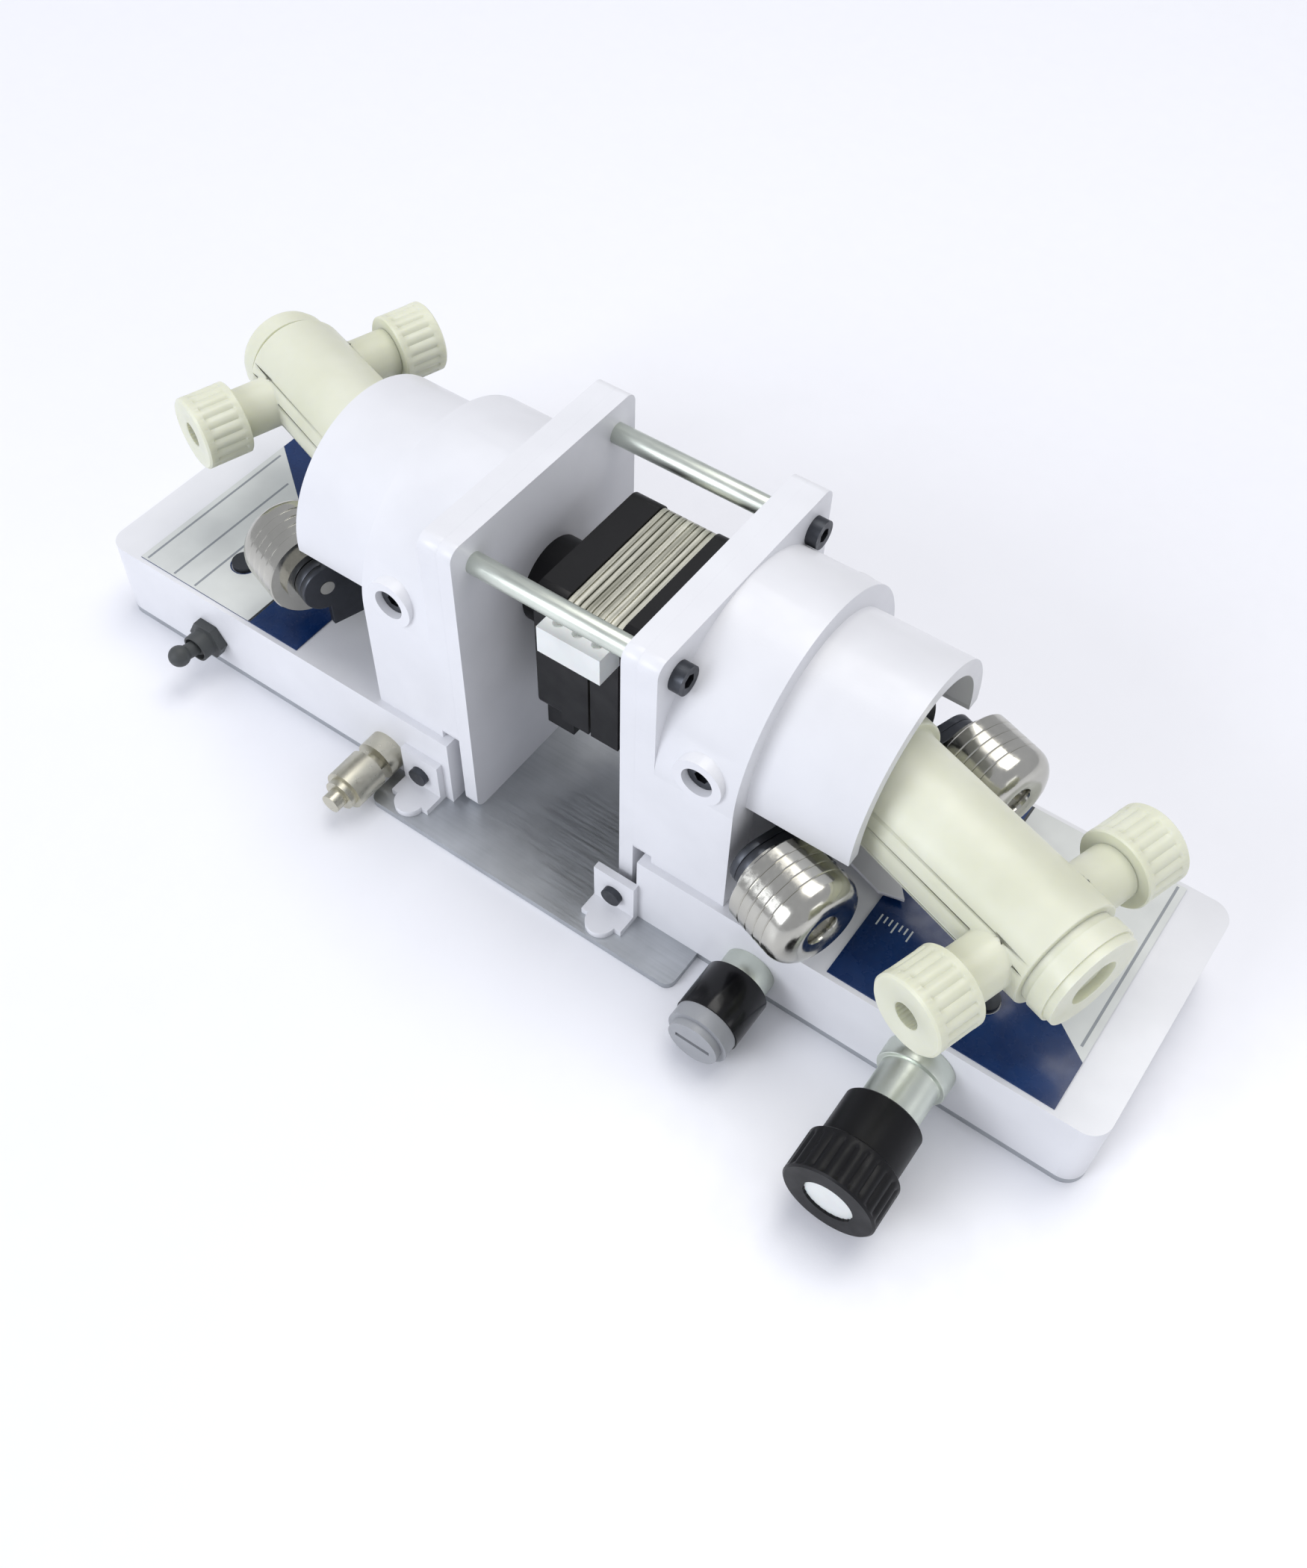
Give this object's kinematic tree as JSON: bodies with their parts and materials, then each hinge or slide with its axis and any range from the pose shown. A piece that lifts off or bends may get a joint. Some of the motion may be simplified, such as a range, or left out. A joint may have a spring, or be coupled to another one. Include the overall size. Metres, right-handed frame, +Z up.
{
  "type": "duplex metering pump",
  "caption": "Twin-head metering pump: a bench motor between end plates drives a swivelling piston pump head at each end of a long base.",
  "frame": {"origin": "centre of the base's mounting holes, on its bottom face", "axes": "+X along the motor axis, +Y towards the back, +Z up"},
  "size_m": [0.452, 0.1996, 0.142],
  "materials": {
    "body_paint": "satin",
    "chassis_metal": "matte",
    "bright_steel": "polished",
    "dark_steel": "satin",
    "standoff_metal": "satin",
    "laminations": "satin",
    "black_plastic": "satin",
    "black_gloss": "glossy",
    "white_plastic": "satin",
    "natural_plastic": "satin",
    "ceramic": "polished",
    "seal_rubber": "matte",
    "label_film": "glossy",
    "switch_body": "matte",
    "grey_plastic": "satin",
    "warm_metal": "satin"
  },
  "bodies": {
    "base": {"chassis_plate": "chassis_metal", "left_base_cover": "body_paint", "right_base_cover": "body_paint", "pan_screws": "dark_steel", "left_end_plate": "body_paint", "right_end_plate": "body_paint", "plate_brackets": "body_paint", "standoffs": "standoff_metal", "left_housing": "body_paint", "right_housing": "body_paint", "socket_screws": "dark_steel", "stator_core": "laminations", "end_bells": "black_plastic", "terminal_block": "white_plastic", "motor_bearings": "bright_steel", "pivot_pins": "bright_steel", "left_scale_label": "label_film", "right_scale_label": "label_film", "panel_bushings": "standoff_metal", "control_switch": "switch_body", "fuse_holder": "black_gloss", "toggle_switch": "switch_body", "ground_post": "warm_metal", "cord_gland": "black_plastic"},
    "rotor": {"rotor_core": "dark_steel", "motor_shaft": "bright_steel", "left_drive_fork": "chassis_metal", "right_drive_fork": "chassis_metal"},
    "left_head": {"left_swivel_yoke": "dark_steel", "left_head_flange": "dark_steel", "left_pointer": "body_paint", "left_head_case": "natural_plastic", "left_liner": "ceramic", "left_gland_seals": "seal_rubber", "left_end_cap": "natural_plastic", "left_port_nuts": "natural_plastic", "left_studs": "bright_steel"},
    "right_head": {"right_swivel_yoke": "dark_steel", "right_head_flange": "dark_steel", "right_pointer": "body_paint", "right_head_case": "natural_plastic", "right_liner": "ceramic", "right_gland_seals": "seal_rubber", "right_end_cap": "natural_plastic", "right_port_nuts": "natural_plastic", "right_studs": "bright_steel"},
    "left_plunger": {"left_piston": "ceramic", "left_drive_pin": "bright_steel"},
    "right_plunger": {"right_piston": "ceramic", "right_drive_pin": "bright_steel"},
    "left_front_nut": {"left_front_thumb_nut": "bright_steel"},
    "left_rear_nut": {"left_rear_thumb_nut": "bright_steel"},
    "right_front_nut": {"right_front_thumb_nut": "bright_steel"},
    "right_rear_nut": {"right_rear_thumb_nut": "bright_steel"},
    "knob": {"control_knob": "black_plastic", "knob_cap": "white_plastic", "control_shaft": "bright_steel"},
    "fuse_cap_body": {"fuse_cap": "grey_plastic"},
    "toggle": {"toggle_lever": "switch_body"},
    "ground_nut_body": {"ground_nut": "warm_metal"}
  },
  "joints": [
    {"name": "motor_spin", "type": "hinge", "parent": "base", "child": "rotor", "pos_m": [0, 0, 0.09], "axis": [1, 0, 0], "continuous": true},
    {"name": "right_swing", "type": "hinge", "parent": "base", "child": "right_head", "pos_m": [0.088, 0, 0.09], "axis": [0, 0, 1], "range_deg": [-2, 38]},
    {"name": "left_swing", "type": "hinge", "parent": "base", "child": "left_head", "pos_m": [-0.088, 0, 0.09], "axis": [0, 0, 1], "range_deg": [-2, 38]},
    {"name": "right_plunger_spin", "type": "hinge", "parent": "right_head", "child": "right_plunger", "pos_m": [0.088, 0, 0.09], "axis": [0.9511, -0.309, 0], "continuous": true},
    {"name": "left_plunger_spin", "type": "hinge", "parent": "left_head", "child": "left_plunger", "pos_m": [-0.088, 0, 0.09], "axis": [0.9511, -0.309, 0], "continuous": true},
    {"name": "left_front_nut_turn", "type": "hinge", "parent": "left_head", "child": "left_front_nut", "pos_m": [-0.1016, -0.04185, 0.068], "axis": [0.9511, -0.309, 0], "continuous": true},
    {"name": "left_rear_nut_turn", "type": "hinge", "parent": "left_head", "child": "left_rear_nut", "pos_m": [-0.0744, 0.04185, 0.068], "axis": [0.9511, -0.309, 0], "continuous": true},
    {"name": "right_front_nut_turn", "type": "hinge", "parent": "right_head", "child": "right_front_nut", "pos_m": [0.0744, -0.04185, 0.068], "axis": [0.9511, -0.309, 0], "continuous": true},
    {"name": "right_rear_nut_turn", "type": "hinge", "parent": "right_head", "child": "right_rear_nut", "pos_m": [0.1016, 0.04185, 0.068], "axis": [0.9511, -0.309, 0], "continuous": true},
    {"name": "control_turn", "type": "hinge", "parent": "base", "child": "knob", "pos_m": [0.163, -0.06, 0.0225], "axis": [0, -1, 0], "range_deg": [0, 270]},
    {"name": "fuse_cap_turn", "type": "hinge", "parent": "base", "child": "fuse_cap_body", "pos_m": [0.0945, -0.085, 0.015], "axis": [0, -1, 0], "range_deg": [0, 90]},
    {"name": "toggle_flip", "type": "hinge", "parent": "base", "child": "toggle", "pos_m": [-0.172, -0.06, 0.016], "axis": [1, 0, 0], "range_deg": [0, 28]},
    {"name": "ground_nut_turn", "type": "hinge", "parent": "base", "child": "ground_nut_body", "pos_m": [-0.076, -0.073, 0.013], "axis": [0, -1, 0], "continuous": true}
  ],
  "couplings": [
    {"joint": "right_plunger_spin", "follows": "motor_spin", "ratio": 1},
    {"joint": "left_plunger_spin", "follows": "motor_spin", "ratio": 1}
  ]
}
